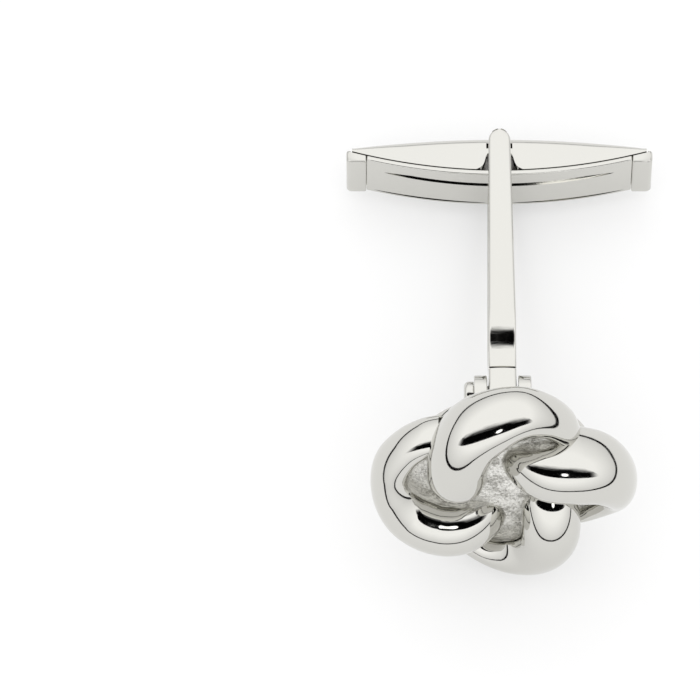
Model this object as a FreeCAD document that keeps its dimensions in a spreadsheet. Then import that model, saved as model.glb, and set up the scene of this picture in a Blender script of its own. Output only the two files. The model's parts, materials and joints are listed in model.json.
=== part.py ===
import FreeCAD, Part
import math
import os
import Sketcher

# A swivel-bar cufflink: a four-strand knot, a hinged strap post and a sprung toggle bar.
# The link is drawn in its own frame: the knot's back plane is y = 0 with the face towards -Y,
# the post runs along +Y, the toggle bar lies along X. At the end the whole link is laid on a
# table, where it rests on the knot's lowest strand and on the tip of the post.

# Driving dimensions in millimetres, in the order of the sheet.
DRIVING_SIZES = [
    # Knot: reach of the strands, crest above the back plane, width of a strand.
    ("knot_radius", "7.55"),
    ("knot_height", "5.6"),
    ("strand_width", "3.4"),
    ("solder_gap", "0.03"),
    # Knot ground between the strands, and the plate that closes the back.
    ("core_waist_radius", "5.17"),
    ("core_arc_radius", "4.04"),
    ("core_height", "2.6"),
    ("plate_radius", "5.0"),
    ("plate_thickness", "0.6"),
    ("plate_chamfer", "0.2"),
    # Hinge on the knot's back.
    ("hinge_height", "3.4"),
    ("hinge_pin_radius", "0.5"),
    ("hinge_clearance", "0.05"),
    ("rivet_clearance", "0.02"),
    ("pin_head_radius", "0.75"),
    ("pin_head_length", "0.55"),
    ("pin_head_round", "0.3"),
    ("ear_thickness", "0.75"),
    ("ear_half_width", "1.1"),
    ("ear_side_clearance", "0.1"),
    ("foot_thickness", "0.6"),
    ("foot_length", "4.6"),
    ("foot_width", "3.2"),
    # Post, a strap folded into two legs.
    ("strap_width", "1.58"),
    ("tip_width", "1.25"),
    ("strap_thickness", "0.65"),
    ("post_length", "15.9"),
    ("neck_length", "1.9"),
    ("flare_length", "1.75"),
    ("bend_radius", "3.0"),
    ("tip_reach", "1.4"),
    ("eye_depth", "0.4"),
    # Toggle bar.
    ("toggle_length", "18.0"),
    ("toggle_width", "3.0"),
    ("toggle_front", "1.35"),
    ("toggle_back", "1.6"),
    ("back_arch", "0.7"),
    ("back_round", "0.6"),
    ("face_arch", "1.35"),
    ("swivel_gap", "0.12"),
    ("wall_thickness", "0.5"),
    ("cavity_length", "13.0"),
    ("face_thickness", "0.35"),
    ("face_slot_margin", "1.03"),
    ("face_slot_width", "0.5"),
    ("face_slot_offset", "0.6"),
    ("tab_length", "1.25"),
    ("tab_proud", "0.15"),
    ("tab_end_thickness", "0.35"),
    ("tab_round", "0.3"),
    ("seat_gap", "0.02"),
    ("recess_depth", "0.25"),
    ("recess_mouth", "2.3"),
    ("recess_neck", "1.66"),
    # Pivot pin and leaf spring of the toggle.
    ("toggle_pin_radius", "0.4"),
    ("pin_flat_half", "0.32"),
    ("spring_thickness", "0.18"),
    ("spring_end_margin", "0.9"),
    ("spring_side_gap", "0.15"),
    ("spring_back_gap", "0.05"),
    # Length by which every cut runs past the solid.
    ("overrun", "1.0"),
]

# One strand, from its root in the middle of the knot round its loop to the tail, as shares:
# x and z of the knot's radius, rise and depth of the knot's height, width of the strand's width.
STRAND_X_SHARES = (-0.318, -0.341, -0.357, -0.338, -0.242, -0.070, 0.122, 0.305, 0.430, 0.480)
STRAND_Z_SHARES = (0.05, 0.152, 0.325, 0.52, 0.707, 0.818, 0.836, 0.738, 0.599, 0.465)
STRAND_RISE_SHARES = (0.24, 0.52, 0.66, 0.652, 0.554, 0.464, 0.393, 0.345, 0.325, 0.315)
STRAND_WIDTH_SHARES = (0.75, 0.91, 1.0, 1.0, 0.945, 0.80, 0.65, 0.52, 0.44, 0.40)
STRAND_DEPTH_SHARES = (0.16, 0.24, 0.312, 0.34, 0.357, 0.34, 0.29, 0.25, 0.23, 0.215)
STRAND_NAMES = ("strand_top", "strand_right", "strand_bottom", "strand_left")
SECTION_POINTS = 8
# Direction of the first of the four waists of the knot's ground, as cosine and sine.
WAIST_SHARES = (0.731, 0.682)
TIP_ROUND_SHARE = 0.49
MESH_STEP_SHARE = 0.005
SETTLE_STEPS = 40

doc = FreeCAD.newDocument("cufflink")
sheet = doc.addObject("Spreadsheet::Sheet", "sizes")


class Size:
    """A length with its value and the sheet formula that it comes from."""

    def __init__(self, value, formula):
        self.value = value
        self.formula = formula

    def combine(self, sign, value, other):
        right = other.formula if isinstance(other, Size) else repr(other)
        return Size(value, f"({self.formula} {sign} {right})")

    def __add__(self, other):
        return self.combine("+", self.value + number(other), other)

    def __sub__(self, other):
        return self.combine("-", self.value - number(other), other)

    def __mul__(self, other):
        return self.combine("*", self.value * number(other), other)

    def __truediv__(self, other):
        return self.combine("/", self.value / number(other), other)

    def __neg__(self):
        return self * -1


def number(size):
    """The plain value of a size or of a number."""
    return size.value if isinstance(size, Size) else size


def fill_sheet():
    """Writes the driving dimensions into the sheet and returns them by name."""
    sizes = {}
    for row, (alias, text) in enumerate(DRIVING_SIZES, start=1):
        sheet.set(f"A{row}", alias)
        sheet.set(f"B{row}", text)
        sheet.setAlias(f"B{row}", alias)
        sizes[alias] = Size(float(text), f"sizes.{alias}")
    doc.recompute()
    return sizes


S = fill_sheet()
ZERO = Size(0.0, "0")

# Places along the post's axis and across it that several pieces share.
HINGE_Y = S["hinge_height"]
PIVOT_Y = HINGE_Y + S["post_length"]
KNUCKLE_BORE = S["hinge_pin_radius"] + S["hinge_clearance"]
KNUCKLE_RADIUS = KNUCKLE_BORE + S["strap_thickness"]
LEG_INNER = S["toggle_width"] / 2 + S["swivel_gap"]
LEG_OUTER = LEG_INNER + S["strap_thickness"]
EYE_REACH = LEG_INNER + S["eye_depth"]
EAR_INNER = S["strap_width"] / 2 + S["ear_side_clearance"]
EAR_OUTER = EAR_INNER + S["ear_thickness"]
SHELL_HALF = S["toggle_length"] / 2 - S["tab_end_thickness"]
FACE_HALF = S["toggle_length"] / 2 - S["tab_length"] - S["seat_gap"]
BACK_Y = PIVOT_Y + S["toggle_back"]
BACK_END_Y = BACK_Y - S["back_arch"]
SEAT_Y = PIVOT_Y - S["toggle_front"] + S["face_thickness"]
SEAT_END_Y = SEAT_Y + S["face_arch"]
CAVITY_BACK_Y = BACK_Y - S["wall_thickness"]


def arch_drop(rise, half_length, half_chord):
    """How far a shallow arch of that rise has dropped at a half chord of its own."""
    return rise * half_chord * half_chord / (half_length * half_length)


def arch_radius(rise, half_chord):
    """Radius of the arc with that rise over that half chord."""
    return (half_chord * half_chord + rise * rise) / (rise * 2)


# Sketches and features


def new_body(name):
    body = doc.addObject("PartDesign::Body", name)
    body.Label = name
    return body


def origin_feature(body, role):
    return next(f for f in body.Origin.OriginFeatures if f.Role == role)


def new_sketch(body, name, plane, lift=None):
    """A sketch on one of the body's origin planes, lifted along the plane's normal."""
    sketch = body.newObject("Sketcher::SketchObject", name)
    sketch.AttachmentSupport = [(origin_feature(body, plane), "")]
    sketch.MapMode = "FlatFace"
    if lift is not None:
        sketch.setExpression("AttachmentOffset.Base.z", lift.formula)
    return sketch


def bind(sketch, constraint, size):
    index = sketch.addConstraint(constraint)
    sketch.setExpression(f"Constraints[{index}]", size.formula)


def pin_point(sketch, geometry, position, x, y):
    """Ties a point of the sketch to the sheet, on an axis where its coordinate is zero."""
    if x is ZERO:
        sketch.addConstraint(Sketcher.Constraint("PointOnObject", geometry, position, -2))
    else:
        bind(sketch, Sketcher.Constraint("DistanceX", -1, 1, geometry, position, x.value), x)
    if y is ZERO:
        sketch.addConstraint(Sketcher.Constraint("PointOnObject", geometry, position, -1))
    else:
        bind(sketch, Sketcher.Constraint("DistanceY", -1, 1, geometry, position, y.value), y)


def arc_between(start, end, radius, turn):
    """The minor arc from start to end, turning left for 1 and right for -1."""
    chord = end - start
    middle = (start + end) * 0.5
    left = FreeCAD.Vector(-chord.y, chord.x, 0).normalize()
    depth = math.sqrt(max(radius * radius - chord.Length * chord.Length / 4, 0))
    centre = middle + left * depth * turn
    crown = centre - left * radius * turn
    return Part.Arc(start, crown, end)


def draw_outline(sketch, corners, arcs=None):
    """A closed outline through the corners. arcs gives (radius, turn) for a side by its number."""
    arcs = arcs or {}
    base = sketch.GeometryCount
    count = len(corners)
    points = [FreeCAD.Vector(x.value, y.value, 0) for x, y in corners]
    start_position = {}
    end_position = {}
    for side in range(count):
        start = points[side]
        end = points[(side + 1) % count]
        turn = 1
        if side in arcs:
            radius, turn = arcs[side]
            sketch.addGeometry(arc_between(start, end, radius.value, turn))
            bind(sketch, Sketcher.Constraint("Radius", base + side, radius.value), radius)
        else:
            sketch.addGeometry(Part.LineSegment(start, end))
        start_position[side] = 1 if turn == 1 else 2
        end_position[side] = 2 if turn == 1 else 1
    for side in range(count):
        following = (side + 1) % count
        joint = (base + side, end_position[side], base + following, start_position[following])
        sketch.addConstraint(Sketcher.Constraint("Coincident", *joint))
    for side, (x, y) in enumerate(corners):
        pin_point(sketch, base + side, start_position[side], x, y)
    doc.recompute()


def draw_rectangle(sketch, left, right, low, high):
    draw_outline(sketch, [(left, low), (right, low), (right, high), (left, high)])


def draw_circle(sketch, x, y, radius):
    index = sketch.GeometryCount
    centre = FreeCAD.Vector(x.value, y.value, 0)
    sketch.addGeometry(Part.Circle(centre, FreeCAD.Vector(0, 0, 1), radius.value))
    bind(sketch, Sketcher.Constraint("Radius", index, radius.value), radius)
    pin_point(sketch, index, 3, x, y)
    doc.recompute()


def add_pad(body, sketch, length, symmetric=True, reverse=False):
    pad = body.newObject("PartDesign::Pad", sketch.Name + "_pad")
    pad.Profile = sketch
    pad.SideType = "Symmetric" if symmetric else "One side"
    pad.Reversed = reverse
    pad.setExpression("Length", length.formula)
    doc.recompute()
    return pad


def add_pocket(body, sketch, length=None, symmetric=True):
    """Cuts the sketch from the body, through all where no length is given."""
    before = body.Shape.Volume
    pocket = body.newObject("PartDesign::Pocket", sketch.Name + "_pocket")
    pocket.Profile = sketch
    pocket.SideType = "Symmetric" if symmetric else "One side"
    if length is None:
        pocket.Type = "ThroughAll"
    else:
        pocket.setExpression("Length", length.formula)
    doc.recompute()
    if body.Shape.Volume >= before:
        raise RuntimeError(f"{sketch.Name} cuts nothing from {body.Label}")
    return pocket


def add_revolution(body, sketch, axis):
    revolution = body.newObject("PartDesign::Revolution", sketch.Name + "_revolution")
    revolution.Profile = sketch
    revolution.ReferenceAxis = (sketch, [axis])
    revolution.Angle = 360
    doc.recompute()
    return revolution


def round_edges(body, name, radius, chosen):
    """Rounds those edges of the body that the test chooses."""
    base = body.Tip
    edges = [f"Edge{i}" for i, edge in enumerate(base.Shape.Edges, start=1) if chosen(edge)]
    fillet = body.newObject("PartDesign::Fillet", name)
    fillet.Base = (base, edges)
    fillet.setExpression("Radius", radius.formula)
    doc.recompute()
    return fillet


def edge_ends(edge):
    """Both end points of an edge, or the one point of a closed edge twice."""
    points = [vertex.Point for vertex in edge.Vertexes]
    return points[0], points[-1]


# Knot


def strand_section(centre, half_width, half_depth):
    """A closed smooth section round the centre; both halves are vectors square to the path."""
    points = []
    for step in range(SECTION_POINTS):
        turn = 2 * math.pi * step / SECTION_POINTS
        points.append(centre + half_width * math.cos(turn) + half_depth * math.sin(turn))
    curve = Part.BSplineCurve()
    curve.interpolate(points, PeriodicFlag=True)
    return Part.Wire(curve.toShape())


def strand_solid(growth):
    """One strand as a loft through ovals square to its path, grown all round by growth."""
    reach = S["knot_radius"].value
    height = S["knot_height"].value
    outward = FreeCAD.Vector(0, -1, 0)
    stations = zip(STRAND_X_SHARES, STRAND_Z_SHARES, STRAND_RISE_SHARES)
    centres = [FreeCAD.Vector(x * reach, -rise * height, z * reach) for x, z, rise in stations]
    path = Part.BSplineCurve()
    path.interpolate(centres)
    tangents = [path.tangent(path.parameter(centre))[0] for centre in centres]
    centres[0] = centres[0] - tangents[0] * growth
    centres[-1] = centres[-1] + tangents[-1] * growth
    wires = []
    for centre, along, width, depth in zip(centres, tangents, STRAND_WIDTH_SHARES, STRAND_DEPTH_SHARES):
        side = along.cross(outward).normalize()
        up = side.cross(along).normalize()
        half_width = side * (width * S["strand_width"].value / 2 + growth)
        half_depth = up * (depth * height + growth)
        wires.append(strand_section(centre, half_width, half_depth))
    return Part.makeLoft(wires, True)


def turned(shape, quarter):
    """The shape turned clockwise by quarters about the knot's axis, seen from the face."""
    copy = shape.copy()
    copy.rotate(FreeCAD.Vector(0, 0, 0), FreeCAD.Vector(0, 1, 0), 90 * quarter)
    return copy


def make_strands():
    """Four like strands, each tail cut back to the strand that it dives under, and their seats."""
    clearance = strand_solid(S["solder_gap"].value)
    seats = [turned(clearance, quarter) for quarter in range(len(STRAND_NAMES))]
    strand = strand_solid(0).cut(seats[1])
    pieces = []
    for quarter, name in enumerate(STRAND_NAMES):
        piece = doc.addObject("Part::Feature", name)
        piece.Label = name
        piece.Shape = turned(strand, quarter)
        pieces.append(piece)
    return pieces, seats


def make_core(seats):
    """The sunk ground that the strands are soldered into, one arc under each loop, seats cut out."""
    body = new_body("core_blank")
    sketch = new_sketch(body, "core_outline", "XZ_Plane", S["plate_thickness"])
    along, across = WAIST_SHARES
    waist = S["core_waist_radius"]
    turns = [(along, across), (-across, along), (-along, -across), (across, -along)]
    corners = [(waist * x, waist * z) for x, z in turns]
    draw_outline(sketch, corners, {side: (S["core_arc_radius"], 1) for side in range(4)})
    add_pad(body, sketch, S["core_height"] - S["plate_thickness"], symmetric=False)
    core = doc.addObject("Part::Feature", "knot_core")
    core.Label = "knot_core"
    core.Shape = body.Shape.cut(seats)
    return core


def make_back_plate():
    body = new_body("back_plate")
    sketch = new_sketch(body, "plate_outline", "XZ_Plane")
    draw_circle(sketch, ZERO, ZERO, S["plate_radius"])
    pad = add_pad(body, sketch, S["plate_thickness"], symmetric=False)
    rim = [f"Edge{i}" for i, edge in enumerate(pad.Shape.Edges, start=1)
           if edge.Closed and abs(edge.CenterOfMass.y) < S["plate_chamfer"].value]
    chamfer = body.newObject("PartDesign::Chamfer", "plate_rim")
    chamfer.Base = (pad, rim)
    chamfer.setExpression("Size", S["plate_chamfer"].formula)
    doc.recompute()
    return body


# Hinge


def make_bracket():
    """A foot soldered to the back plate, with two round-topped ears."""
    body = new_body("hinge_bracket")
    foot = new_sketch(body, "foot_outline", "XZ_Plane")
    half_length = S["foot_length"] / 2
    half_width = S["foot_width"] / 2
    draw_rectangle(foot, -half_length, half_length, -half_width, half_width)
    add_pad(body, foot, S["foot_thickness"], symmetric=False, reverse=True)
    ears = new_sketch(body, "ear_outline", "YZ_Plane")
    width = S["ear_half_width"]
    corners = [
        (ZERO, -width),
        (HINGE_Y, -width),
        (HINGE_Y + width, ZERO),
        (HINGE_Y, width),
        (ZERO, width),
    ]
    draw_outline(ears, corners, {1: (width, 1), 2: (width, 1)})
    add_pad(body, ears, EAR_OUTER * 2)
    gap = new_sketch(body, "ear_gap", "YZ_Plane")
    reach = width + S["overrun"]
    draw_rectangle(gap, S["foot_thickness"], HINGE_Y + reach, -reach, reach)
    add_pocket(body, gap, EAR_INNER * 2)
    bore = new_sketch(body, "ear_bore", "YZ_Plane")
    draw_circle(bore, HINGE_Y, ZERO, S["hinge_pin_radius"] + S["rivet_clearance"])
    add_pocket(body, bore)
    return body


def make_hinge_pin():
    """A rivet through both ears, headed outside the left one and flush with the right one."""
    body = new_body("hinge_pin")
    profile = new_sketch(body, "pin_profile", "XY_Plane")
    neck = EAR_OUTER + S["seat_gap"]
    end = neck + S["pin_head_length"]
    shaft = S["hinge_pin_radius"]
    head = S["pin_head_radius"]
    corners = [
        (-end, ZERO),
        (EAR_OUTER, ZERO),
        (EAR_OUTER, shaft),
        (-neck, shaft),
        (-neck, head),
        (-end, head),
    ]
    draw_outline(profile, corners)
    add_revolution(body, profile, "H_Axis")
    near = S["seat_gap"].value / 2

    def at_crown(edge):
        return edge.Closed and abs(edge.CenterOfMass.x + end.value) < near

    round_edges(body, "pin_crown", S["pin_head_round"], at_crown)
    body.Placement.Base = FreeCAD.Vector(0, HINGE_Y.value, 0)
    return body


# Post


def make_post():
    """A strap looped round the hinge pin, whose two legs hold the toggle between their tips."""
    body = new_body("post_strap")
    side = new_sketch(body, "strap_side", "YZ_Plane")
    neck_y = HINGE_Y + S["neck_length"]
    flare_y = neck_y + S["flare_length"]
    tip_y = PIVOT_Y + S["tip_reach"]
    corners = [
        (tip_y, LEG_OUTER),
        (flare_y, LEG_OUTER),
        (neck_y, KNUCKLE_RADIUS),
        (HINGE_Y, KNUCKLE_RADIUS),
        (HINGE_Y - KNUCKLE_RADIUS, ZERO),
        (HINGE_Y, -KNUCKLE_RADIUS),
        (neck_y, -KNUCKLE_RADIUS),
        (flare_y, -LEG_OUTER),
        (tip_y, -LEG_OUTER),
        (tip_y, -LEG_INNER),
        (flare_y, -LEG_INNER),
        (neck_y, -KNUCKLE_BORE),
        (neck_y, KNUCKLE_BORE),
        (flare_y, LEG_INNER),
        (tip_y, LEG_INNER),
    ]
    draw_outline(side, corners, {3: (KNUCKLE_RADIUS, 1), 4: (KNUCKLE_RADIUS, 1)})
    add_pad(body, side, S["strap_width"])
    bends = [(flare_y.value, LEG_OUTER.value), (flare_y.value, LEG_INNER.value)]
    bends.append((neck_y.value, KNUCKLE_RADIUS.value))
    near = S["seat_gap"].value

    def at_bend(edge):
        first, last = edge_ends(edge)
        spot = edge.CenterOfMass
        across = abs(first.x - last.x) > S["strap_width"].value / 2
        return across and any(math.hypot(spot.y - y, abs(spot.z) - z) < near for y, z in bends)

    round_edges(body, "strap_bends", S["bend_radius"], at_bend)
    bore = new_sketch(body, "knuckle_bore", "YZ_Plane")
    draw_circle(bore, HINGE_Y, ZERO, KNUCKLE_BORE)
    add_pocket(body, bore)
    eyes = new_sketch(body, "leg_eyes", "XY_Plane")
    draw_circle(eyes, ZERO, PIVOT_Y, S["toggle_pin_radius"] + S["rivet_clearance"])
    add_pocket(body, eyes, EYE_REACH * 2)
    taper = new_sketch(body, "leg_taper", "XY_Plane")
    wide = S["strap_width"] / 2
    narrow = S["tip_width"] / 2
    beyond = wide + S["overrun"]
    for hand in (1, -1):
        corners = [
            (wide * hand, flare_y),
            (narrow * hand, tip_y),
            (narrow * hand, tip_y + S["overrun"]),
            (beyond * hand, tip_y + S["overrun"]),
            (beyond * hand, flare_y),
        ]
        draw_outline(taper, corners)
    add_pocket(body, taper)

    def at_tip(edge):
        first, last = edge_ends(edge)
        upright = abs(first.z - last.z) > near
        return upright and max(abs(first.y - tip_y.value), abs(last.y - tip_y.value)) < near

    round_edges(body, "tip_round", S["tip_width"] * TIP_ROUND_SHARE, at_tip)
    return body


# Toggle


def make_toggle_pin():
    """The pivot, held in blind eyes of the legs, with four flats for the spring to click on."""
    body = new_body("toggle_pin")
    shaft = new_sketch(body, "toggle_pin_round", "XY_Plane")
    draw_circle(shaft, ZERO, PIVOT_Y, S["toggle_pin_radius"])
    add_pad(body, shaft, (EYE_REACH - S["rivet_clearance"]) * 2)
    flats = new_sketch(body, "toggle_pin_flats", "XY_Plane")
    flat = S["pin_flat_half"]
    clear = S["toggle_pin_radius"] + S["overrun"]
    draw_rectangle(flats, -clear, clear, PIVOT_Y - clear, PIVOT_Y + clear)
    draw_rectangle(flats, -flat, flat, PIVOT_Y - flat, PIVOT_Y + flat)
    add_pocket(body, flats, S["toggle_width"] - S["wall_thickness"] * 2)
    return body


def make_shell():
    """The bar's folded shell: arched back, side walls that deepen towards the pivot."""
    body = new_body("toggle_shell")
    side = new_sketch(body, "shell_side", "XY_Plane")
    corners = [
        (SHELL_HALF, SEAT_END_Y),
        (SHELL_HALF, BACK_END_Y),
        (-SHELL_HALF, BACK_END_Y),
        (-SHELL_HALF, SEAT_END_Y),
    ]
    arcs = {
        1: (arch_radius(S["back_arch"], SHELL_HALF), 1),
        3: (arch_radius(S["face_arch"], SHELL_HALF), 1),
    }
    draw_outline(side, corners, arcs)
    add_pad(body, side, S["toggle_width"])
    cavity = new_sketch(body, "shell_cavity", "XY_Plane")
    half = S["cavity_length"] / 2
    drop = arch_drop(S["back_arch"], SHELL_HALF, half)
    front = SEAT_Y - S["overrun"]
    corners = [
        (half, front),
        (half, CAVITY_BACK_Y - drop),
        (-half, CAVITY_BACK_Y - drop),
        (-half, front),
    ]
    draw_outline(cavity, corners, {1: (arch_radius(drop, half), 1)})
    add_pocket(body, cavity, S["toggle_width"] - S["wall_thickness"] * 2)
    bore = new_sketch(body, "shell_bore", "XY_Plane")
    draw_circle(bore, ZERO, PIVOT_Y, S["toggle_pin_radius"] + S["hinge_clearance"])
    add_pocket(body, bore)
    recess = new_sketch(body, "leg_recess", "XY_Plane", S["toggle_width"] / 2)
    mouth = S["recess_mouth"] / 2
    neck = S["recess_neck"] / 2
    corners = [(mouth, front), (neck, BACK_END_Y), (-neck, BACK_END_Y), (-mouth, front)]
    draw_outline(recess, corners)
    pocket = add_pocket(body, recess, S["recess_depth"], symmetric=False)
    mirrored = body.newObject("PartDesign::Mirrored", "both_recesses")
    mirrored.Originals = [pocket]
    mirrored.MirrorPlane = (origin_feature(body, "XY_Plane"), [""])
    body.Tip = mirrored
    doc.recompute()
    near = S["seat_gap"].value
    half_width = S["toggle_width"].value / 2

    def along_back(edge):
        first, last = edge_ends(edge)
        spot = edge.CenterOfMass
        spans = abs(first.x - last.x) > S["toggle_length"].value / 2
        outside = abs(abs(spot.z) - half_width) < near
        return spans and outside and spot.y > PIVOT_Y.value

    round_edges(body, "back_rounds", S["back_round"], along_back)
    return body


def make_face():
    """The bowed face plate towards the knot, with the long seam slot of the folded sheet."""
    body = new_body("toggle_face")
    side = new_sketch(body, "face_side", "XY_Plane")
    drop = arch_drop(S["face_arch"], SHELL_HALF, FACE_HALF)
    inner = SEAT_Y + drop - S["seat_gap"]
    outer = inner - S["face_thickness"]
    radius = arch_radius(drop, FACE_HALF)
    corners = [(FACE_HALF, outer), (FACE_HALF, inner), (-FACE_HALF, inner), (-FACE_HALF, outer)]
    draw_outline(side, corners, {1: (radius, -1), 3: (radius, 1)})
    add_pad(body, side, S["toggle_width"])
    slot = new_sketch(body, "face_slot", "XZ_Plane")
    half = FACE_HALF - S["face_slot_margin"]
    middle = S["face_slot_offset"]
    reach = S["face_slot_width"] / 2
    radius = arch_radius(reach, half)
    draw_outline(slot, [(half, middle), (-half, middle)], {0: (radius, 1), 1: (radius, 1)})
    add_pocket(body, slot)
    return body


def make_end_tab(name, side):
    """An end of the bar, folded round the shell's end and over the face; side is 1 or -1."""
    body = new_body(name)
    outline = new_sketch(body, name + "_side", "XY_Plane")
    end = S["toggle_length"] / 2
    inner = end - S["tab_length"]
    step = SHELL_HALF + S["seat_gap"]
    seat = SEAT_Y + arch_drop(S["face_arch"], SHELL_HALF, inner) - S["seat_gap"]
    seat_end = SEAT_END_Y - S["seat_gap"]
    front = seat - S["face_thickness"] - S["tab_proud"]
    corners = [
        (inner * side, front),
        (end * side, front),
        (end * side, BACK_END_Y),
        (step * side, BACK_END_Y),
        (step * side, seat_end),
        (inner * side, seat),
    ]
    draw_outline(outline, corners)
    add_pad(body, outline, S["toggle_width"])
    near = S["seat_gap"].value / 2

    def at_outer_end(edge):
        first, last = edge_ends(edge)
        outermost = min(abs(first.x), abs(last.x)) > end.value - near
        return outermost and (abs(first.z - last.z) < near or first.y < seat.value)

    round_edges(body, name + "_rounds", S["tab_round"], at_outer_end)
    return body


def make_spring():
    """The leaf spring: its middle lies on the pivot's flats, its ends brace on the shell's back."""
    body = new_body("leaf_spring")
    side = new_sketch(body, "spring_side", "XY_Plane")
    half = S["cavity_length"] / 2 - S["spring_end_margin"]
    middle = PIVOT_Y + S["toggle_pin_radius"] + S["seat_gap"]
    end = CAVITY_BACK_Y - arch_drop(S["back_arch"], SHELL_HALF, half) - S["spring_back_gap"]
    corners = [
        (half, end - S["spring_thickness"]),
        (half, end),
        (ZERO, middle + S["spring_thickness"]),
        (-half, end),
        (-half, end - S["spring_thickness"]),
        (ZERO, middle),
    ]
    draw_outline(side, corners)
    add_pad(body, side, S["toggle_width"] - S["wall_thickness"] * 2 - S["spring_side_gap"] * 2)
    return body


# Laying the link on the table


def lowest(points, angle):
    """The lowest height among the points once the link leans back by that angle."""
    return min(p.z * math.cos(angle) - p.y * math.sin(angle) for p in points)


def rest_placement(knot_pieces, post, everything):
    """Leans the link until knot and post tip touch the table, and centres its box on the origin."""
    step = S["knot_radius"].value * MESH_STEP_SHARE
    knot_points = [p for piece in knot_pieces for p in piece.Shape.tessellate(step)[0]]
    post_points = post.Shape.tessellate(step)[0]
    flat = 0.0
    steep = math.pi / 4
    for _ in range(SETTLE_STEPS):
        angle = (flat + steep) / 2
        if lowest(post_points, angle) > lowest(knot_points, angle):
            flat = angle
        else:
            steep = angle
    lean = FreeCAD.Rotation(FreeCAD.Vector(1, 0, 0), -math.degrees(angle))
    points = [lean.multVec(p) for piece in everything for p in piece.Shape.tessellate(step)[0]]
    middle_x = (min(p.x for p in points) + max(p.x for p in points)) / 2
    middle_y = (min(p.y for p in points) + max(p.y for p in points)) / 2
    shift = FreeCAD.Vector(-middle_x, -middle_y, -min(p.z for p in points))
    return FreeCAD.Placement(shift, lean)


def check_and_write(nodes):
    """Stops on any failed object or bad shape, then writes one file per node."""
    for item in doc.Objects:
        if any(state in ("Invalid", "Error") for state in item.State):
            raise RuntimeError(f"{item.Label} failed: {item.State}")
    for node in nodes:
        if node.Shape.isNull() or not node.Shape.isValid() or not node.Shape.Solids:
            raise RuntimeError(f"{node.Label} has no valid solid")
    os.makedirs("parts", exist_ok=True)
    for node in nodes:
        node.Shape.exportStep(f"parts/{node.Label}.step")
        print(node.Label, len(node.Shape.Solids), "solid", round(node.Shape.Volume, 3), "mm3")


def main():
    strands, seats = make_strands()
    core = make_core(seats)
    knot = strands + [core, make_back_plate(), make_bracket(), make_hinge_pin()]
    post = make_post()
    toggle = [make_shell(), make_face(), make_spring()]
    toggle.append(make_end_tab("toggle_end_left", -1))
    toggle.append(make_end_tab("toggle_end_right", 1))
    nodes = knot + [post, make_toggle_pin()] + toggle
    doc.recompute()
    rest = rest_placement(strands, post, nodes)
    for node in nodes:
        node.Placement = rest.multiply(node.Placement)
    check_and_write(nodes)
    print("lean", round(abs(math.degrees(rest.Rotation.Angle)), 4), "shift", rest.Base)


main()
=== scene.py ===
"""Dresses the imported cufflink: polished silver strands, post and toggle bar on a white table."""
import json
import math

import bmesh
import bpy
from mathutils import Matrix, Vector


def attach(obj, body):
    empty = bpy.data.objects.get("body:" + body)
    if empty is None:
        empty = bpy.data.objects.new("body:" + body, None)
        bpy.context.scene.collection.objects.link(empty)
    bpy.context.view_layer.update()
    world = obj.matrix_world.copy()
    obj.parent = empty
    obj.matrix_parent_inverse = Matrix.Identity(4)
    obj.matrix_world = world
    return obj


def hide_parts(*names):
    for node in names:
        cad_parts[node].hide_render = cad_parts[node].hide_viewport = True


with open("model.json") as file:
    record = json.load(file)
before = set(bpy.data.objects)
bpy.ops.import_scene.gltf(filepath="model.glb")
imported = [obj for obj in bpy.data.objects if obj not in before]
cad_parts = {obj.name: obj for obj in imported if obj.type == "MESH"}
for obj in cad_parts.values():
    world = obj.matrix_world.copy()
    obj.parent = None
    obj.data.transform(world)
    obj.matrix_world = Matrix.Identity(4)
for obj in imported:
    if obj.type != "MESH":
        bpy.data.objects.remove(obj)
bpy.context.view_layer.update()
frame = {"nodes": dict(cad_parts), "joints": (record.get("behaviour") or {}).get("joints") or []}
scene = bpy.context.scene
MM = 0.001

# Sizes of the link are in millimetres, in its own frame: the knot's back plane is y = 0 with the
# face towards -Y, the post runs along +Y and the toggle bar lies along X.

# Knot: strands, back plate, and the sunk ground with its dome and its cast grain. The ground's rim is
# a share of the arcs under the loops, and its foot on the plate is a share of the rim.
KNOT_RADIUS = 7.55
KNOT_HEIGHT = 5.6
STRAND_WIDTH = 3.4
PLATE_THICKNESS = 0.6
CORE_WAIST_RADIUS = 5.17
CORE_ARC_RADIUS = 4.04
CORE_WAIST_TURN = 43.0
CORE_HEIGHT = 2.6
CORE_DOME = 0.7
CORE_RIM_SHARE = 0.95
CORE_FOOT_SHARE = 0.85
CORE_RINGS = 130
CORE_SIDES = 400
GRAIN_SIZE = 0.17
GRAIN_HEIGHT = 0.1

# One strand from its root in the middle of the knot round its loop to the tail, as shares:
# x and z of the knot's radius, rise and depth of the knot's height, width of the strand's width.
STRAND_X_SHARES = (-0.318, -0.341, -0.357, -0.338, -0.242, -0.070, 0.122, 0.305, 0.430, 0.480)
STRAND_Z_SHARES = (0.05, 0.152, 0.325, 0.52, 0.707, 0.818, 0.836, 0.738, 0.599, 0.465)
STRAND_RISE_SHARES = (0.24, 0.52, 0.66, 0.652, 0.554, 0.464, 0.393, 0.345, 0.325, 0.315)
STRAND_WIDTH_SHARES = (0.75, 0.91, 1.0, 1.0, 0.945, 0.80, 0.65, 0.52, 0.44, 0.40)
STRAND_DEPTH_SHARES = (0.16, 0.24, 0.312, 0.34, 0.357, 0.34, 0.29, 0.25, 0.23, 0.215)
STRAND_NAMES = ("strand_top", "strand_right", "strand_bottom", "strand_left")
# Station from which the flanks are drawn down, and how finely a strand is drawn.
STRAND_DRAWN_FROM = 2
STRAND_STEPS = 14
STRAND_SIDES = 64

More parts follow.
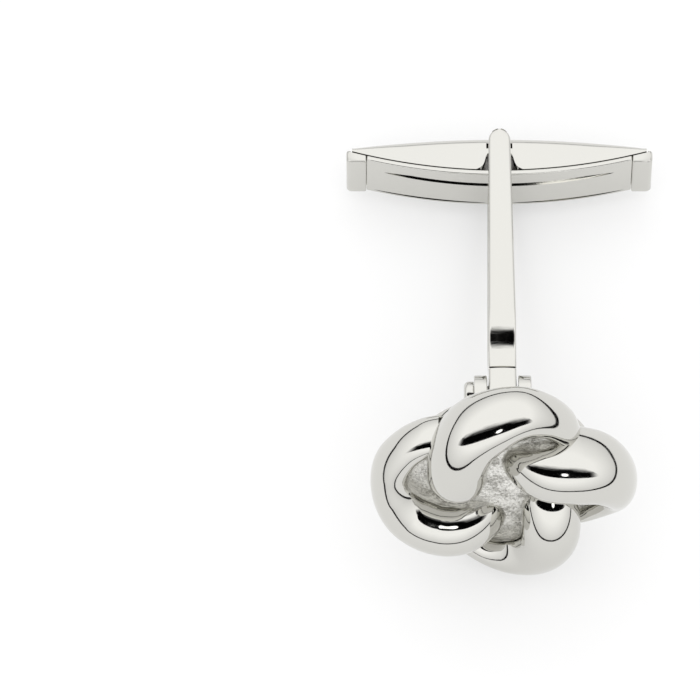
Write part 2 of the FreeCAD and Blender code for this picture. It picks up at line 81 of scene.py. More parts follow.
# Post: a strap looped round the hinge pin. Its faces are domed a little between their round edges,
# and a line crosses it where the loop closes. The tip's end keeps a share of the tip's width.
HINGE_Y = 3.4
PIVOT_Y = 19.3
KNUCKLE_BORE = 0.55
STRAP_THICKNESS = 0.65
STRAP_WIDTH = 1.58
TIP_WIDTH = 1.25
TIP_REACH = 1.4
TIP_END_SHARE = 0.0632
NECK_LENGTH = 1.9
FLARE_LENGTH = 1.75
BEND_RADIUS = 3.0
STRAP_EDGE_ROUND = 0.17
STRAP_DOME = 0.06
DOME_MARGIN = 0.204
DOME_LINES = 4
LOOP_SEAM_Y = 4.5
LOOP_SEAM_WIDTH = 0.12
LOOP_SEAM_DEPTH = 0.14

# Toggle bar as a whole.
TOGGLE_LENGTH = 18.0
TOGGLE_WIDTH = 3.0
TOGGLE_FRONT = 1.35
TOGGLE_BACK = 1.6
SWIVEL_GAP = 0.12
SEAT_GAP = 0.02
PIN_BORE = 0.45

# Shell: arched back and hollow. The round of the back's edges leaves the side walls at an angle in
# degrees, is at most a share of the shell's depth, and lowers the back where it is smaller. A narrow
# strip along the fold keeps the rest of the side wall flat.
BACK_ARCH = 0.7
WALL_THICKNESS = 0.5
CAVITY_LENGTH = 13.0
CAVITY_ROUND = 0.05
SHELL_END_GAP = 0.05
CROWN_RADIUS = 0.9
CROWN_SHARE = 0.5
CROWN_END_SHARE = 0.8
CROWN_DROP_SHARE = 0.45
CROWN_TURN = 14
FOLD_STRIP = 0.03

# Recess in the side walls behind each leg, and the notches that flare from it towards the face. Their
# cutters run past the shell by different lengths, so that no two of them share a plane.
RECESS_HALF_WIDTH = 0.76
RECESS_DEPTH = 0.25
RECESS_OVERRUN = 0.4
NOTCH_START = 0.55
NOTCH_INNER = 0.6
NOTCH_OUTER = 0.7
NOTCH_FLARE = 0.3
NOTCH_CURL = 0.45
NOTCH_CURL_POWER = 8
NOTCH_DEPTH = 0.6
NOTCH_OVERRUN = 0.3

# Face plate, with the sunk seam of the folded sheet and the line of its lower fold on both sides.
FACE_ARCH = 1.35
FACE_THICKNESS = 0.35
FACE_EDGE_ROUND = 0.1
SEAM_HALF_LENGTH = 6.7
SEAM_HALF_WIDTH = 0.25
SEAM_Z = 0.6
SEAM_DEPTH = 0.1
FOLD_START = 0.75
FOLD_END = 7.3
FOLD_Z = -1.28
FOLD_HALF_WIDTH = 0.07
FOLD_DEPTH = 0.16
GROOVE_POINT = 0.004
GROOVE_POWER = 0.6
GROOVE_OVERRUN = 0.5

# End tabs.
TAB_LENGTH = 1.25
TAB_PROUD = 0.15
TAB_END_THICKNESS = 0.35
TAB_BACK_DROP = 0.5
TAB_CORNER = 0.42
TAB_LIP_ROUND = 0.12
TAB_BACK_ROUND = 0.2
TAB_EDGE_ROUND = 0.13

# Softened edges of the pieces that show the solids themselves.
SOFT_EDGE = 0.08
SOFT_STEPS = 3
SOLID_JOIN = 0.001

# Cutters and joined points, and the angles in degrees past which an edge stays sharp.
OVERRUN = 1.0
CUTTER_ROUND = 0.01
POINT_JOIN = 0.0001
EDGE_ANGLE = 40
SHELL_ANGLE = 35
STRAND_ANGLE = 50
CORE_ANGLE = 60

# Places that several pieces share, worked out from the sizes above.
LEG_INNER = TOGGLE_WIDTH / 2 + SWIVEL_GAP
LEG_OUTER = LEG_INNER + STRAP_THICKNESS
KNUCKLE_RADIUS = KNUCKLE_BORE + STRAP_THICKNESS
SHELL_HALF = TOGGLE_LENGTH / 2 - TAB_END_THICKNESS
FACE_HALF = TOGGLE_LENGTH / 2 - TAB_LENGTH - SEAT_GAP
SEAT_Y = PIVOT_Y - TOGGLE_FRONT + FACE_THICKNESS
BACK_Y = PIVOT_Y + TOGGLE_BACK
BACK_END_Y = BACK_Y - BACK_ARCH


def link_to_row():
    """The matrix from the link's own frame, in millimetres, to the row frame, in metres."""
    joints = {joint["name"]: joint for joint in frame["joints"]}
    swivel = Vector(joints["toggle_swivel"]["axis"])
    lean = Matrix.Rotation(-math.atan2(swivel.y, swivel.z), 4, "X")
    hinge = Vector(joints["post_hinge"]["pos_m"])
    shift = hinge - lean @ Vector((0, HINGE_Y * MM, 0))
    return Matrix.Translation(shift) @ lean @ Matrix.Scale(MM, 4)


ROW = link_to_row()


# Materials

# Pattern sizes in millimetres.
HAZE_PATCH = 2.2
WHEEL_MARK = 0.12
WHEEL_MARK_DEPTH = 0.004
CAST_GRAIN = 0.15
CAST_GRAIN_DEPTH = 0.06
CAST_PATCH = 0.9
CAST_PIT = 0.1
CAST_PIT_DEPTH = 0.05
ROLLED_LINE_LENGTH = 10.0
ROLLED_LINE_WIDTH = 0.0625
ROLLED_LINE_DEPTH = 0.01
# Range that most values of a noise pattern fall in.
NOISE_RANGE = {"From Min": 0.3, "From Max": 0.7}


def srgb(text):
    """A linear colour from a six-digit sRGB hex value."""
    channels = [int(text[i:i + 2], 16) / 255 for i in (0, 2, 4)]
    linear = [c / 12.92 if c <= 0.04045 else ((c + 0.055) / 1.055) ** 2.4 for c in channels]
    return (*linear, 1.0)


def add_node(tree, kind, inputs, **settings):
    """Adds a node with its settings. An input, by name or number, gets a value or a link to a socket."""
    node = tree.nodes.new("ShaderNode" + kind)
    for name, value in settings.items():
        setattr(node, name, value)
    for key, value in inputs.items():
        if isinstance(value, bpy.types.NodeSocket):
            tree.links.new(value, node.inputs[key])
        else:
            node.inputs[key].default_value = value
    return node


def new_material(name):
    """A new material, its node tree and its shader."""
    material = bpy.data.materials.new(name)
    material.use_nodes = True
    tree = material.node_tree
    return material, tree, tree.nodes["Principled BSDF"]


def pattern_place(tree, along, across=None):
    """Object coordinates in which one unit is that many millimetres along X, and across it."""
    place = add_node(tree, "TexCoord", {}).outputs["Object"]
    along_step = 1 / (along * MM)
    across_step = 1 / ((across or along) * MM)
    scale = (along_step, across_step, across_step)
    return add_node(tree, "Mapping", {"Vector": place, "Scale": scale}).outputs["Vector"]


def polished_silver():
    """Sterling silver, buffed on a wheel."""
    # It mirrors the white tent with hard dark lines. Handling leaves a faint haze in patches, and the
    # wheel leaves marks that are too fine to show, so they are drawn at about a tenth of a millimetre.
    material, tree, shader = new_material("polished_silver")
    shader.inputs["Metallic"].default_value = 1.0
    shader.inputs["Base Color"].default_value = srgb("CFCEC9")
    haze_inputs = {"Vector": pattern_place(tree, HAZE_PATCH), "Scale": 1.0, "Detail": 4.0}
    haze = add_node(tree, "TexNoise", haze_inputs).outputs["Fac"]
    clouded = add_node(tree, "MapRange", {"Value": haze, **NOISE_RANGE, "To Min": 0.035, "To Max": 0.085})
    tree.links.new(clouded.outputs["Result"], shader.inputs["Roughness"])
    mark_inputs = {"Vector": pattern_place(tree, WHEEL_MARK), "Scale": 1.0, "Detail": 3.0}
    marks = add_node(tree, "TexNoise", mark_inputs).outputs["Fac"]
    buffed = add_node(tree, "Bump", {"Height": marks, "Strength": 0.06, "Distance": WHEEL_MARK_DEPTH * MM})
    tree.links.new(buffed.outputs["Normal"], shader.inputs["Normal"])
    return material


def cast_silver():
    """Sterling silver as it comes from the mould, left in the sunk ground of the knot."""
    # It glitters dully: its bright and grey grains are partly its own uneven tone and partly painted glints,
    # with small pits and no clear mirror image.
    material, tree, shader = new_material("cast_silver")
    shader.inputs["Metallic"].default_value = 1.0
    grain_place = pattern_place(tree, CAST_GRAIN)
    grain_inputs = {"Vector": grain_place, "Scale": 1.0, "Detail": 5.0, "Roughness": 0.7}
    grain = add_node(tree, "TexNoise", grain_inputs).outputs["Fac"]
    patch_inputs = {"Vector": pattern_place(tree, CAST_PATCH), "Scale": 1.0, "Detail": 3.0}
    patches = add_node(tree, "TexNoise", patch_inputs).outputs["Fac"]
    # Painted glints: the brighter grains in the colour stand in partly for glints off the grain, beside the
    # metal's own uneven tone.
    glint_speckle = add_node(tree, "Math", {0: patches, 1: 0.5, 2: grain}, operation="MULTIPLY_ADD")
    glint_ramp = add_node(tree, "ValToRGB", {"Fac": glint_speckle.outputs["Value"]})
    grey, bright = glint_ramp.color_ramp.elements
    grey.position = 0.62
    grey.color = srgb("A4A29C")
    bright.position = 0.82
    bright.color = srgb("F8F7F3")
    tree.links.new(glint_ramp.outputs["Color"], shader.inputs["Base Color"])
    dulled = add_node(tree, "MapRange", {"Value": grain, **NOISE_RANGE, "To Min": 0.28, "To Max": 0.55})
    tree.links.new(dulled.outputs["Result"], shader.inputs["Roughness"])
    pit_inputs = {"Vector": pattern_place(tree, CAST_PIT), "Scale": 1.0}
    pits = add_node(tree, "TexVoronoi", pit_inputs).outputs["Distance"]
    pitted = add_node(tree, "Bump", {"Height": pits, "Strength": 0.5, "Distance": CAST_PIT_DEPTH * MM})
    relief = {"Height": grain, "Strength": 0.7, "Distance": CAST_GRAIN_DEPTH * MM}
    grainy = add_node(tree, "Bump", {**relief, "Normal": pitted.outputs["Normal"]})
    tree.links.new(grainy.outputs["Normal"], shader.inputs["Normal"])
    return material


def spring_steel():
    """Carbon steel strip, cold rolled."""
    # It is greyer than the silver, and fine lines along the strip draw its highlights out sideways.
    material, tree, shader = new_material("spring_steel")
    shader.inputs["Metallic"].default_value = 1.0
    shader.inputs["Base Color"].default_value = srgb("A9A8A6")
    place = pattern_place(tree, ROLLED_LINE_LENGTH, ROLLED_LINE_WIDTH)
    lines = add_node(tree, "TexNoise", {"Vector": place, "Scale": 1.0, "Detail": 3.0}).outputs["Fac"]
    dulled = add_node(tree, "MapRange", {"Value": lines, **NOISE_RANGE, "To Min": 0.22, "To Max": 0.4})
    tree.links.new(dulled.outputs["Result"], shader.inputs["Roughness"])
    rolled = add_node(tree, "Bump", {"Height": lines, "Strength": 0.2, "Distance": ROLLED_LINE_DEPTH * MM})
    tree.links.new(rolled.outputs["Normal"], shader.inputs["Normal"])
    return material


POLISHED = polished_silver()
CAST = cast_silver()
STEEL = spring_steel()


# Mesh helpers


def make_piece(name, mesh, body, material, replaced):
    """Puts a mesh drawn in the link's frame into the row frame as a piece that stands for a CAD node."""
    mesh.transform(ROW)
    mesh.materials.clear()
    mesh.materials.append(material)
    piece = bpy.data.objects.new(name, mesh)
    scene.collection.objects.link(piece)
    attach(piece, body)
    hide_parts(replaced)
    return piece


def mesh_from(vertices, faces):
    """A mesh from points and from faces that number them."""
    mesh = bpy.data.meshes.new("drawn")
    mesh.from_pydata(vertices, [], faces)
    return mesh


def ring_quads(rings, sides, first=0):
    """Four-sided faces between neighbouring rings of points, numbered from the first."""
    faces = []
    for ring in range(rings - 1):
        low = first + ring * sides
        high = low + sides
        for step in range(sides):
            following = (step + 1) % sides
            faces.append((low + step, low + following, high + following, high + step))
    return faces


def tube_mesh(rings):
    """A closed mesh through rings of equally many points, with a flat face over both end rings."""
    sides = len(rings[0])
    vertices = [point for ring in rings for point in ring]
    faces = ring_quads(len(rings), sides)
    for first in (0, len(vertices) - sides):
        faces.append(tuple(range(first, first + sides)))
    return mesh_from(vertices, faces)


def smooth_mesh(mesh, sharp_angle):
    """Smooth shading, with an edge kept sharp where its faces meet at more than that angle."""
    shaped = bmesh.new()
    shaped.from_mesh(mesh)
    bmesh.ops.recalc_face_normals(shaped, faces=shaped.faces)
    limit = math.radians(sharp_angle)
    for face in shaped.faces:
        face.smooth = True
    for edge in shaped.edges:
        edge.smooth = len(edge.link_faces) == 2 and edge.calc_face_angle() < limit
    shaped.to_mesh(mesh)
    shaped.free()
    return mesh


def join_points(mesh):
    """Joins points of a mesh that lie in one place."""
    shaped = bmesh.new()
    shaped.from_mesh(mesh)
    bmesh.ops.remove_doubles(shaped, verts=shaped.verts, dist=POINT_JOIN)
    shaped.to_mesh(mesh)
    shaped.free()
    return mesh


def spline_value(values, place):
    """A smooth value through the listed ones at a place counted in list steps."""
    last = len(values) - 1
    index = min(int(place), last - 1)
    part = place - index
    before = values[max(index - 1, 0)]
    start = values[index]
    end = values[index + 1]
    after = values[min(index + 2, last)]
    leave = (end - before) / 2
    arrive = (after - start) / 2
    square = part * part
    cube = square * part
    return ((2 * cube - 3 * square + 1) * start + (cube - 2 * square + part) * leave
            + (3 * square - 2 * cube) * end + (cube - square) * arrive)


def arc_points(centre, radius, start_degrees, end_degrees, steps):
    """Points along an arc, both ends included."""
    points = []
    for step in range(steps + 1):
        turn = math.radians(start_degrees + (end_degrees - start_degrees) * step / steps)
        points.append((centre[0] + radius * math.cos(turn), centre[1] + radius * math.sin(turn)))
    return points


def circle_points(centre, radius, steps=48):
    """Points round a full circle."""
    return arc_points(centre, radius, 0, 360, steps)[:-1]


def rounded_outline(corners, radii, steps=8):
    """A closed outline whose corners are rounded by the given radii; zero keeps a corner."""
    points = []
    count = len(corners)
    for index, corner in enumerate(corners):
        here = Vector(corner)
        if radii[index] == 0:
            points.append(tuple(here))
            continue
        back = (Vector(corners[index - 1]) - here).normalized()
        ahead = (Vector(corners[(index + 1) % count]) - here).normalized()
        half = back.angle(ahead) / 2
        reach = radii[index] / math.tan(half)
        centre = here + (back + ahead).normalized() * (radii[index] / math.sin(half))
        first = here + back * reach - centre
        last = here + ahead * reach - centre
        sweep = first.angle_signed(last)
        for step in range(steps + 1):
            spin = Matrix.Rotation(-sweep * step / steps, 2)
            points.append(tuple(centre + spin @ first))
    return points


def plate_mesh(outlines, half_thickness, edge_round, axes, round_steps=4):
    """A flat plate with rounded edges from closed outlines, holes included.

    axes names the link axis for the outline's first and second direction and for the thickness.
    """
    curve = bpy.data.curves.new("outline", "CURVE")
    curve.dimensions = "2D"
    curve.fill_mode = "BOTH"
    curve.extrude = half_thickness - edge_round
    curve.bevel_depth = edge_round
    curve.bevel_resolution = round_steps
    curve.offset = -edge_round
    for outline in outlines:
        spline = curve.splines.new("POLY")
        spline.points.add(len(outline) - 1)
        for point, (u, v) in zip(spline.points, outline):
            point.co = (u, v, 0, 1)
        spline.use_cyclic_u = True
    holder = bpy.data.objects.new("outline", curve)
    scene.collection.objects.link(holder)
    bpy.context.view_layer.update()
    graph = bpy.context.evaluated_depsgraph_get()
    mesh = bpy.data.meshes.new_from_object(holder.evaluated_get(graph))
    bpy.data.objects.remove(holder)
    order = ["xyz".index(letter) for letter in axes]
    for vertex in mesh.vertices:
        place = [0.0, 0.0, 0.0]
        for axis, value in zip(order, vertex.co):
            place[axis] = value
        vertex.co = place
    return join_points(mesh)


def carve(mesh, cutters):
    """The mesh with the cutters' meshes taken out of it."""
    target = bpy.data.objects.new("target", mesh)
    scene.collection.objects.link(target)
    tools = []
    for cutter in cutters:
        tool = bpy.data.objects.new("cutter", smooth_mesh(cutter, EDGE_ANGLE))
        scene.collection.objects.link(tool)
        tools.append(tool)
        cut = target.modifiers.new("cut", "BOOLEAN")
        cut.operation = "DIFFERENCE"
        cut.solver = "EXACT"
        cut.object = tool
    bpy.context.view_layer.update()
    graph = bpy.context.evaluated_depsgraph_get()
    result = bpy.data.meshes.new_from_object(target.evaluated_get(graph))
    for holder in [target, *tools]:
        bpy.data.objects.remove(holder)
    return join_points(result)


# Knot


def strand_station(place):
    """Centre, half width and half depth of the strand at a place along its stations."""
    x = spline_value(STRAND_X_SHARES, place) * KNOT_RADIUS
    z = spline_value(STRAND_Z_SHARES, place) * KNOT_RADIUS
    rise = spline_value(STRAND_RISE_SHARES, place) * KNOT_HEIGHT
    half_width = spline_value(STRAND_WIDTH_SHARES, place) * STRAND_WIDTH / 2
    half_depth = spline_value(STRAND_DEPTH_SHARES, place) * KNOT_HEIGHT
    return Vector((x, -rise, z)), half_width, half_depth


def strand_ring(place, last):
    """The oval round the strand's path at a place, with its lower half drawn down to the back plate."""
    centre, half_width, half_depth = strand_station(place)
    half_step = 0.5 / STRAND_STEPS
    ahead = strand_station(min(place + half_step, last))[0]
    behind = strand_station(max(place - half_step, 0))[0]
    along = (ahead - behind).normalized()
    side = along.cross(Vector((0, -1, 0))).normalized()
    up = side.cross(along).normalized()
    gap = max(-centre.y - PLATE_THICKNESS - half_depth, 0)
    below = half_depth + gap * min(max(place - STRAND_DRAWN_FROM, 0), 1)
    points = []
    for step in range(STRAND_SIDES):
        turn = 2 * math.pi * step / STRAND_SIDES
        depth = half_depth if math.sin(turn) > 0 else below
        points.append(centre + side * half_width * math.cos(turn) + up * depth * math.sin(turn))
    return points


def strand_mesh(quarter):
    """One polished strand, turned about the knot's axis by quarters."""
    last = len(STRAND_X_SHARES) - 1
    places = [step / STRAND_STEPS for step in range(last * STRAND_STEPS + 1)]
    mesh = tube_mesh([strand_ring(place, last) for place in places])
    mesh.transform(Matrix.Rotation(math.radians(90 * quarter), 4, "Y"))
    return smooth_mesh(mesh, STRAND_ANGLE)


def core_reach(turn):
    """Radius of the ground in a direction: one arc under each of the four loops."""
    half_chord = CORE_WAIST_RADIUS * math.sin(math.pi / 4)
    offset = half_chord - math.sqrt(CORE_ARC_RADIUS ** 2 - half_chord ** 2)
    quarter = math.pi / 2
    away = (turn - math.radians(CORE_WAIST_TURN)) % quarter - quarter / 2
    return offset * math.cos(away) + math.sqrt(CORE_ARC_RADIUS ** 2 - (offset * math.sin(away)) ** 2)


def core_mesh():
    """The domed ground, fine enough for the displacement to show its grain."""
    turns = [2 * math.pi * step / CORE_SIDES for step in range(CORE_SIDES)]
    rims = [CORE_RIM_SHARE * core_reach(turn) for turn in turns]
    vertices = [Vector((0, -CORE_HEIGHT - CORE_DOME, 0))]
    for share in [ring / CORE_RINGS for ring in range(1, CORE_RINGS + 1)]:
        height = CORE_HEIGHT + CORE_DOME * (1 - share ** 2)
        for turn, rim in zip(turns, rims):
            vertices.append(Vector((rim * share * math.cos(turn), -height, rim * share * math.sin(turn))))
    for turn, rim in zip(turns, rims):
        foot = rim * CORE_FOOT_SHARE
        vertices.append(Vector((foot * math.cos(turn), -PLATE_THICKNESS, foot * math.sin(turn))))
    faces = [(0, 1 + step, 1 + (step + 1) % CORE_SIDES) for step in range(CORE_SIDES)]
    faces += ring_quads(CORE_RINGS + 1, CORE_SIDES, 1)
    faces.append(tuple(range(len(vertices) - CORE_SIDES, len(vertices))))
    return smooth_mesh(mesh_from(vertices, faces), CORE_ANGLE)


def build_knot():
    """Four strands round the sunk ground with its cast grain."""
    for quarter, name in enumerate(STRAND_NAMES):
        make_piece("polished_" + name, strand_mesh(quarter), "knot", POLISHED, name)
    core = make_piece("granular_ground", core_mesh(), "knot", CAST, "knot_core")
    grain = bpy.data.textures.new("cast_grain", "CLOUDS")
    grain.noise_scale = GRAIN_SIZE * MM
    grain.noise_depth = 3
    rough = core.modifiers.new("grain", "DISPLACE")
    rough.texture = grain
    rough.texture_coords = "LOCAL"
    rough.mid_level = 0.5
    rough.strength = GRAIN_HEIGHT * MM


# Post


def strap_half_width(y):
    """Half the strap's width: full at the hinge, tapered along the legs, round at the tip."""
    flare = HINGE_Y + NECK_LENGTH + FLARE_LENGTH
    tip = PIVOT_Y + TIP_REACH
    if y <= flare:
        return STRAP_WIDTH / 2
    half = STRAP_WIDTH / 2 + (TIP_WIDTH - STRAP_WIDTH) / 2 * (y - flare) / (tip - flare)
    start = tip - TIP_WIDTH / 2
    if y > start:
        reach = min((y - start) / (TIP_WIDTH / 2), 1.0)
        half = min(half, TIP_WIDTH / 2 * max(math.sqrt(1 - reach * reach), TIP_END_SHARE))
    return half


def leg_points(across, start, end, steps=40):
    """Points along one face of a leg, closer together at the round tip."""
    points = []
    for step in range(steps + 1):
        share = math.sin(math.pi / 2 * step / steps)
        points.append((start + (end - start) * share, across))
    return points


def dome_strap(mesh):
    """Adds lines along the strap and lowers its faces towards both edges."""
    half = STRAP_WIDTH / 2
    shaped = bmesh.new()
    shaped.from_mesh(mesh)
    for line in range(-DOME_LINES, DOME_LINES + 1):
        geometry = shaped.verts[:] + shaped.edges[:] + shaped.faces[:]
        place = (line / DOME_LINES * (half - DOME_MARGIN), 0, 0)
        bmesh.ops.bisect_plane(shaped, geom=geometry, plane_co=place, plane_no=(1, 0, 0))
    bmesh.ops.recalc_face_normals(shaped, faces=shaped.faces)
    shaped.normal_update()
    for vertex in shaped.verts:
        inwards = vertex.normal * Vector((0, 1, 1))
        vertex.co -= inwards * STRAP_DOME * (vertex.co.x / half) ** 2
    shaped.to_mesh(mesh)
    shaped.free()


def loop_seam_cutter(side):
    """A cutter for the line across one face of the strap where its loop closes; side is 1 or -1."""
    low = LOOP_SEAM_Y - LOOP_SEAM_WIDTH / 2
    high = LOOP_SEAM_Y + LOOP_SEAM_WIDTH / 2
    bottom = side * (KNUCKLE_RADIUS - LOOP_SEAM_DEPTH)
    top = side * (KNUCKLE_RADIUS + OVERRUN)
    outline = [(low, bottom), (high, bottom), (high, top), (low, top)]
    return plate_mesh([outline], STRAP_WIDTH, CUTTER_ROUND, "yzx")


def post_mesh():
    """The strap looped round the hinge pin, with two legs that hold the bar between their tips."""
    neck = HINGE_Y + NECK_LENGTH
    flare = neck + FLARE_LENGTH
    straight = flare + BEND_RADIUS
    tip = PIVOT_Y + TIP_REACH
    upper = [(tip, LEG_OUTER), (flare, LEG_OUTER), (neck, KNUCKLE_RADIUS), (HINGE_Y, KNUCKLE_RADIUS)]
    outer = rounded_outline(upper, [0, BEND_RADIUS, BEND_RADIUS, 0])
    lower = [(neck, KNUCKLE_BORE), (flare, LEG_INNER), (tip, LEG_INNER)]
    inner = rounded_outline(lower, [0, BEND_RADIUS, 0])
    half = leg_points(LEG_OUTER, straight, tip)[::-1] + outer[1:-1]
    half += arc_points((HINGE_Y, 0), KNUCKLE_RADIUS, 90, 180, 16)
    mirrored = [(y, -z) for y, z in half[:-1]][::-1]
    inside = [(y, -z) for y, z in inner[1:-1]] + leg_points(-LEG_INNER, straight, tip)
    crotch = [(neck, -KNUCKLE_BORE), (neck, KNUCKLE_BORE)]
    outline = half + mirrored + inside[::-1] + crotch + [(y, -z) for y, z in inside]
    bore = circle_points((HINGE_Y, 0), KNUCKLE_BORE)
    mesh = plate_mesh([outline, bore], STRAP_WIDTH / 2, STRAP_EDGE_ROUND, "yzx", 6)
    dome_strap(mesh)
    for vertex in mesh.vertices:
        vertex.co.x *= strap_half_width(vertex.co.y) / (STRAP_WIDTH / 2)
    seams = [loop_seam_cutter(side) for side in (1, -1)]
    return smooth_mesh(carve(smooth_mesh(mesh, EDGE_ANGLE), seams), EDGE_ANGLE)


def build_post():
    """The strap; its pins show as the solids have them."""
    make_piece("polished_strap", post_mesh(), "post", POLISHED, "post_strap")


# Toggle bar


def arch_y(peak, arch, x):
    """Height of a shallow arch over the bar at x, with its rise over the shell's half length."""
    return peak + arch * (x / SHELL_HALF) ** 2


def arch_run(peak, arch, start, end, steps=48):
    """Points along a shallow arch over the bar, both ends included."""
    places = [start + (end - start) * step / steps for step in range(steps + 1)]
    return [(x, arch_y(peak, arch, x)) for x in places]


def shell_section(x):
    """The shell's section across the bar at x: flat side walls, a fold and the round edges of the back."""
    half_width = TOGGLE_WIDTH / 2
    front = arch_y(SEAT_Y, FACE_ARCH, x)
    back = arch_y(BACK_Y, -BACK_ARCH, x)
    crown = min(CROWN_RADIUS, (back - front) * CROWN_SHARE)
    back -= (CROWN_RADIUS - crown) * CROWN_DROP_SHARE
    crown = min(crown, (back - front) * CROWN_END_SHARE)
    turn = math.radians(CROWN_TURN)
    middle = half_width - crown * math.cos(turn)
    strip = back - crown * (1 - math.sin(turn)) - FOLD_STRIP
    points = [(front, -half_width), (strip, -half_width)]
    points += arc_points((back - crown, -middle), crown, 270 + CROWN_TURN, 360, 10)
    points += arc_points((back - crown, middle), crown, 0, 90 - CROWN_TURN, 10)
    points += [(strip, half_width), (front, half_width)]
    return [Vector((x, y, z)) for y, z in points]


def shell_mesh():
    """The folded shell: arched back with round edges, side walls that deepen to the middle, hollow."""
    steps = 96
    half = SHELL_HALF - SHELL_END_GAP
    body = tube_mesh([shell_section(half * (2 * step / steps - 1)) for step in range(steps + 1)])
    return smooth_mesh(carve(smooth_mesh(body, EDGE_ANGLE), shell_cutters()), SHELL_ANGLE)


def wall_cutter(outline, side, depth, overrun):
    """A straight cutter over an outline in x and y, that deep into one side wall; side is 1 or -1."""
    rings = []
    for reach in (-depth, overrun):
        z = side * (TOGGLE_WIDTH / 2 + reach)
        rings.append([Vector((x, y, z)) for x, y in outline])
    return tube_mesh(rings)


def notch_outline():
    """One notch from the recess to the face: it widens evenly, then curls outwards at its mouth."""
    start = BACK_END_Y - NOTCH_START
    steps = 24
    points = [(NOTCH_INNER, SEAT_Y - NOTCH_OVERRUN), (NOTCH_INNER, start)]
    for step in range(steps + 1):
        share = step / steps
        x = NOTCH_OUTER + NOTCH_FLARE * share + NOTCH_CURL * share ** NOTCH_CURL_POWER
        points.append((x, start + (SEAT_Y - start) * share))
    mouth = NOTCH_OUTER + NOTCH_FLARE + NOTCH_CURL
    points.append((mouth, SEAT_Y - NOTCH_OVERRUN))
    return points


def shell_cutters():
    """The hollow, the pivot bore, the recess behind each leg and the open notches beside it."""
    half = CAVITY_LENGTH / 2
    hollow = [(-half, SEAT_Y - OVERRUN), (half, SEAT_Y - OVERRUN)]
    hollow += arch_run(BACK_Y - WALL_THICKNESS, -BACK_ARCH, half, -half, 32)
    bore = circle_points((0, PIVOT_Y), PIN_BORE)
    cutters = [plate_mesh([hollow], TOGGLE_WIDTH / 2 - WALL_THICKNESS, CAVITY_ROUND, "xyz")]
    cutters.append(plate_mesh([bore], TOGGLE_WIDTH, CUTTER_ROUND, "xyz"))
    low = SEAT_Y - RECESS_OVERRUN
    recess = [(RECESS_HALF_WIDTH, low), (RECESS_HALF_WIDTH, BACK_END_Y)]
    recess += [(-RECESS_HALF_WIDTH, BACK_END_Y), (-RECESS_HALF_WIDTH, low)]
    for side in (1, -1):
        cutters.append(wall_cutter(recess, side, RECESS_DEPTH, RECESS_OVERRUN))
        for hand in (1, -1):
            notch = [(hand * x, y) for x, y in notch_outline()]
            cutters.append(wall_cutter(notch, side, NOTCH_DEPTH, NOTCH_OVERRUN))
    return cutters


def face_mesh():
    """The bowed face plate with the sunk seam of the folded sheet and the line of its lower fold."""
    front = SEAT_Y - FACE_THICKNESS - SEAT_GAP
    outline = arch_run(front, FACE_ARCH, -FACE_HALF, FACE_HALF)
    outline += arch_run(SEAT_Y - SEAT_GAP, FACE_ARCH, FACE_HALF, -FACE_HALF)
    plate = plate_mesh([outline], TOGGLE_WIDTH / 2, FACE_EDGE_ROUND, "xyz")
    seam_ends = (-SEAM_HALF_LENGTH, SEAM_HALF_LENGTH)
    cutters = [groove_cutter(front, seam_ends, SEAM_Z, SEAM_HALF_WIDTH, SEAM_DEPTH)]
    for fold_ends in ((-FOLD_END, -FOLD_START), (FOLD_START, FOLD_END)):
        cutters.append(groove_cutter(front, fold_ends, FOLD_Z, FOLD_HALF_WIDTH, FOLD_DEPTH))
    return smooth_mesh(carve(smooth_mesh(plate, EDGE_ANGLE), cutters), EDGE_ANGLE)


def groove_cutter(front, ends, z, half_width, depth):
    """A cutter for a groove along the bowed face, pointed at both ends."""
    steps = 48
    rings = []
    for step in range(steps + 1):
        x = ends[0] + (ends[1] - ends[0]) * step / steps
        half = max(half_width * math.sin(math.pi * step / steps) ** GROOVE_POWER, GROOVE_POINT)
        bottom = arch_y(front, FACE_ARCH, x) + depth
        top = bottom - depth - GROOVE_OVERRUN
        corners = ((top, -half), (top, half), (bottom, half), (bottom, -half))
        rings.append([Vector((x, y, z + offset)) for y, offset in corners])
    return tube_mesh(rings)


def tab_mesh(side):
    """An end of the bar, folded round the shell's end and over the face; side is 1 or -1."""
    end = TOGGLE_LENGTH / 2
    inner = end - TAB_LENGTH
    step = SHELL_HALF + SEAT_GAP
    seat = arch_y(SEAT_Y, FACE_ARCH, inner) - SEAT_GAP
    seat_end = SEAT_Y + FACE_ARCH - SEAT_GAP
    front = seat - FACE_THICKNESS - TAB_PROUD
    back = BACK_END_Y - TAB_BACK_DROP
    corners = [(inner, front), (end, front), (end, back), (step, back), (step, seat_end), (inner, seat)]
    outline = rounded_outline(corners, [TAB_LIP_ROUND, TAB_CORNER, TAB_BACK_ROUND, 0, 0, 0])
    outline = [(u * side, v) for u, v in outline]
    mesh = plate_mesh([outline], TOGGLE_WIDTH / 2, TAB_EDGE_ROUND, "xyz")
    corner = Vector((end - TAB_CORNER, TOGGLE_WIDTH / 2 - TAB_CORNER))
    for vertex in mesh.vertices:
        over = Vector((abs(vertex.co.x), abs(vertex.co.z))) - corner
        if min(over) > 0 and over.length > TAB_CORNER:
            pulled = over.normalized() * TAB_CORNER - over
            vertex.co.x += math.copysign(1, vertex.co.x) * pulled.x
            vertex.co.z += math.copysign(1, vertex.co.z) * pulled.y
    return smooth_mesh(mesh, EDGE_ANGLE)


def build_toggle():
    """The bar's shell, its face and both end tabs."""
    pieces = {"shell": shell_mesh(), "face": face_mesh(), "end_left": tab_mesh(-1), "end_right": tab_mesh(1)}
    for name, mesh in pieces.items():
        make_piece("polished_" + name, mesh, "toggle", POLISHED, "toggle_" + name)


